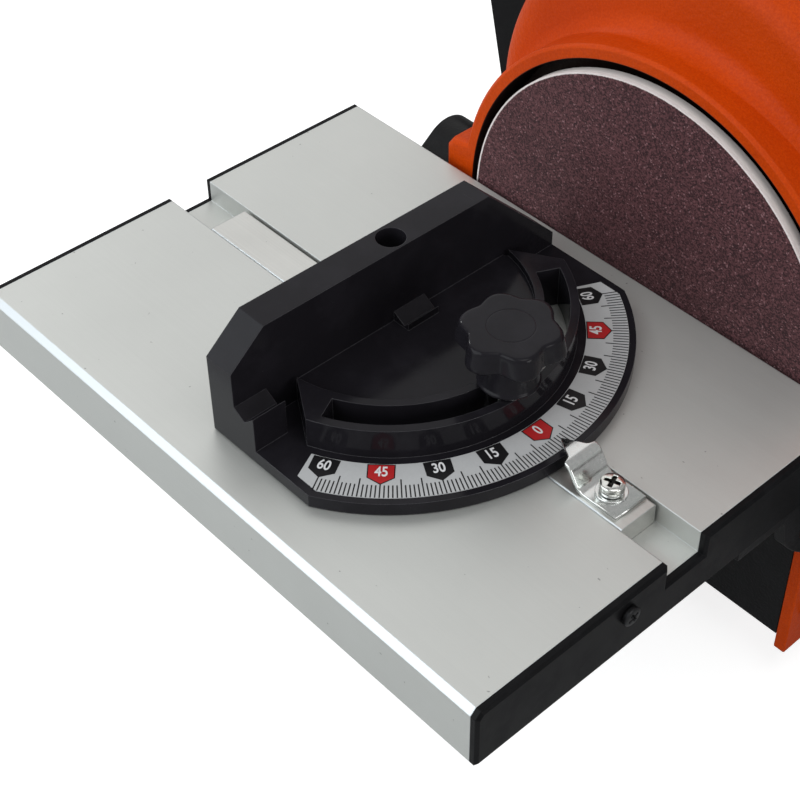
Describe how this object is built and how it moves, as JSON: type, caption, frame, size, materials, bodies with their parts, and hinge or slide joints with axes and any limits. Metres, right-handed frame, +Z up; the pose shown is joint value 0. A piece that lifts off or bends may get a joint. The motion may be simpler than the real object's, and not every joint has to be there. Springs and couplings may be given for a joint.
{
  "type": "belt and disc sander",
  "caption": "Bench belt and disc sander: orange disc housing, tilting slotted table with a mitre gauge, tilting belt unit, dust hood and a box base.",
  "frame": {"origin": "centre of the bench-bolt pattern on the bench plane", "axes": "+X along the belt unit at rest, +Y from the table to the motor, +Z up"},
  "size_m": [0.5606, 0.371, 0.2735],
  "materials": {
    "orange_paint": "satin",
    "black_paint": "satin",
    "black_plastic": "matte",
    "black_gloss": "gloss",
    "aluminium": "anodised",
    "zinc": "zinc plated",
    "steel": "machined",
    "dark_steel": "blackened",
    "rubber": "matte",
    "grit": "abrasive",
    "scale_film": "printed",
    "copper_iron": "wound"
  },
  "bodies": {
    "base": {"plinth": "black_paint", "bottom_plate": "black_paint", "rubber_feet": "rubber", "drive_bracket": "black_paint", "casting_screws": "dark_steel", "cover_screws": "dark_steel", "motor_cover": "black_plastic", "disc_housing": "orange_paint", "lower_disc_guard": "black_paint", "motor_can": "aluminium", "motor_screws": "dark_steel", "motor_rear_bell": "aluminium", "motor_stator": "copper_iron", "motor_bearings": "steel", "drive_belt": "rubber", "drum_bearings": "steel", "tilt_stop_screw": "dark_steel", "dust_hood": "black_plastic", "table_pivot_screws": "dark_steel", "switch_body": "black_plastic", "cable_gland": "black_plastic"},
    "spindle": {"motor_rotor": "steel", "cooling_fan": "black_plastic", "drive_pulley": "steel", "disc_plate": "aluminium", "sanding_disc": "grit"},
    "drum": {"drive_drum": "aluminium", "driven_pulley": "steel"},
    "belt_unit": {"belt_frame": "aluminium", "platen": "steel", "sanding_belt": "grit", "work_stop": "black_paint", "stop_screws": "steel", "belt_lock_screw": "dark_steel", "tension_spring": "steel"},
    "tension": {"idler_yoke": "aluminium", "idler_axle": "steel"},
    "idler": {"idler_drum": "aluminium"},
    "lever": {"tension_lever": "black_plastic"},
    "tracker": {"tracking_knob": "black_plastic"},
    "table": {"table_plate": "aluminium", "near_end_cap": "black_plastic", "far_end_cap": "black_plastic", "cap_screws": "dark_steel", "left_table_arm": "black_paint", "right_table_arm": "black_paint", "arm_screws": "dark_steel"},
    "left_lock": {"left_lock_knob": "black_plastic"},
    "mitre": {"mitre_bar": "aluminium", "mitre_stud": "steel", "mitre_washers": "zinc", "mitre_pivot_screw": "dark_steel", "mitre_pointer": "zinc", "pointer_screw": "zinc"},
    "mitre_head": {"mitre_head": "black_gloss", "mitre_scale": "scale_film"},
    "mitre_knob": {"mitre_knob": "black_gloss"},
    "switch": {"switch_rocker": "black_gloss"}
  },
  "joints": [
    {"name": "disc_spin", "type": "hinge", "parent": "base", "child": "spindle", "pos_m": [0, -0.081, 0.125], "axis": [0, -1, 0], "continuous": true},
    {"name": "drum_spin", "type": "hinge", "parent": "base", "child": "drum", "pos_m": [0, -0.071, 0.2165], "axis": [0, -1, 0], "continuous": true},
    {"name": "belt_tilt", "type": "hinge", "parent": "base", "child": "belt_unit", "pos_m": [0, -0.07, 0.2165], "axis": [0, -1, 0], "range_deg": [0, 90]},
    {"name": "belt_tension", "type": "slide", "parent": "belt_unit", "child": "tension", "axis": [1, 0, 0], "range_m": [-0.007, 0], "stiffness_N_per_m": 3000, "springref_m": 0.004, "deforming": ["tension_spring"]},
    {"name": "idler_spin", "type": "hinge", "parent": "tension", "child": "idler", "pos_m": [0.37613, -0.007, 0.2165], "axis": [0, -1, 0], "continuous": true},
    {"name": "lever_turn", "type": "hinge", "parent": "belt_unit", "child": "lever", "pos_m": [0.30295, -0.07, 0.2165], "axis": [0, -1, 0], "range_deg": [0, 90]},
    {"name": "tracking_turn", "type": "hinge", "parent": "belt_unit", "child": "tracker", "pos_m": [0.25013, -0.07, 0.2165], "axis": [0, -1, 0], "range_deg": [-180, 180]},
    {"name": "table_tilt", "type": "hinge", "parent": "base", "child": "table", "pos_m": [0, -0.103, 0.119], "axis": [1, 0, 0], "range_deg": [0, 45]},
    {"name": "left_lock_turn", "type": "hinge", "parent": "base", "child": "left_lock", "pos_m": [-0.0964, -0.103, 0.077], "axis": [-1, 0, 0], "range_deg": [0, 180]},
    {"name": "mitre_slide", "type": "slide", "parent": "table", "child": "mitre", "axis": [1, 0, 0], "range_m": [-0.095, 0.045]},
    {"name": "mitre_swivel", "type": "hinge", "parent": "mitre", "child": "mitre_head", "pos_m": [-0.0324, -0.197, 0.13], "axis": [0, 0, 1], "range_deg": [-60, 60]},
    {"name": "mitre_knob_turn", "type": "hinge", "parent": "mitre", "child": "mitre_knob", "pos_m": [0.0182, -0.197, 0.15], "axis": [0, 0, 1], "range_deg": [0, 270]},
    {"name": "switch_rock", "type": "hinge", "parent": "base", "child": "switch", "pos_m": [0.127, 0, 0.036], "axis": [0, 1, 0], "range_deg": [0, 16]}
  ],
  "couplings": [
    {"joint": "drum_spin", "follows": "disc_spin", "ratio": 1.2},
    {"joint": "idler_spin", "follows": "disc_spin", "ratio": 1.2},
    {"joint": "lever_turn", "follows": "belt_tension", "rad_per_m": -224.4}
  ]
}
